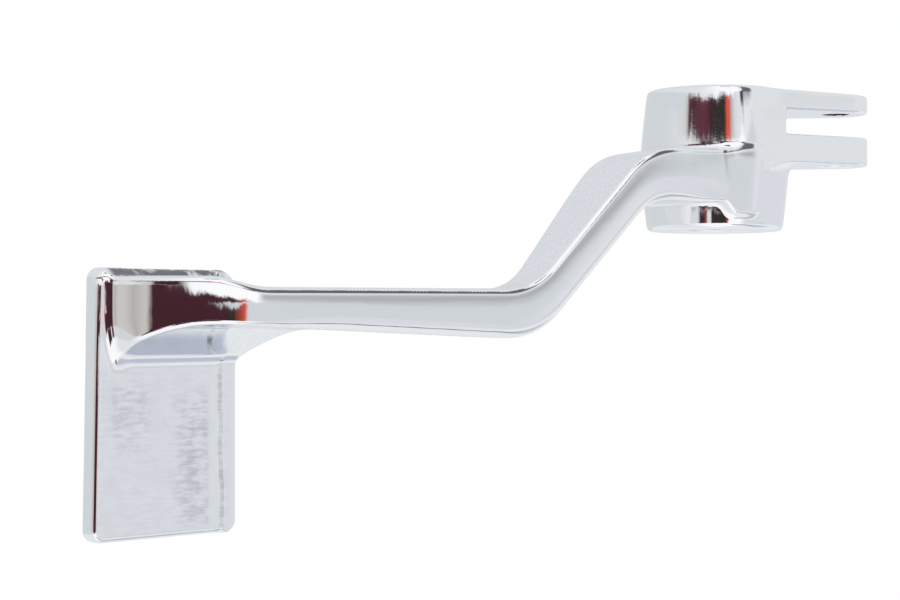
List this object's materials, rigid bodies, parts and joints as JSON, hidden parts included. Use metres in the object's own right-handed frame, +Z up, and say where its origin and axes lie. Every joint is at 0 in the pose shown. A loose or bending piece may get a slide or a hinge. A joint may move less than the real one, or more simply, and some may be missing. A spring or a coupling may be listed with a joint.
{
  "type": "brake pedal",
  "caption": "Chrome-plated motorcycle brake pedal forged in one piece: bored pivot boss, forked rod lever, cranked arm and flat foot plate with a raised rear lip.",
  "frame": {"origin": "middle of the pivot bore, on its axis", "axes": "+X forward, the way the arm reaches; +Y inboard along the pivot bore; +Z up, with the arm climbing 42 degrees as fitted"},
  "size_m": [0.1904, 0.1383, 0.1883],
  "materials": {
    "chrome_plate": "bright chrome plating with light wear"
  },
  "bodies": {
    "root": {"brake_pedal": "chrome_plate"}
  },
  "joints": []
}
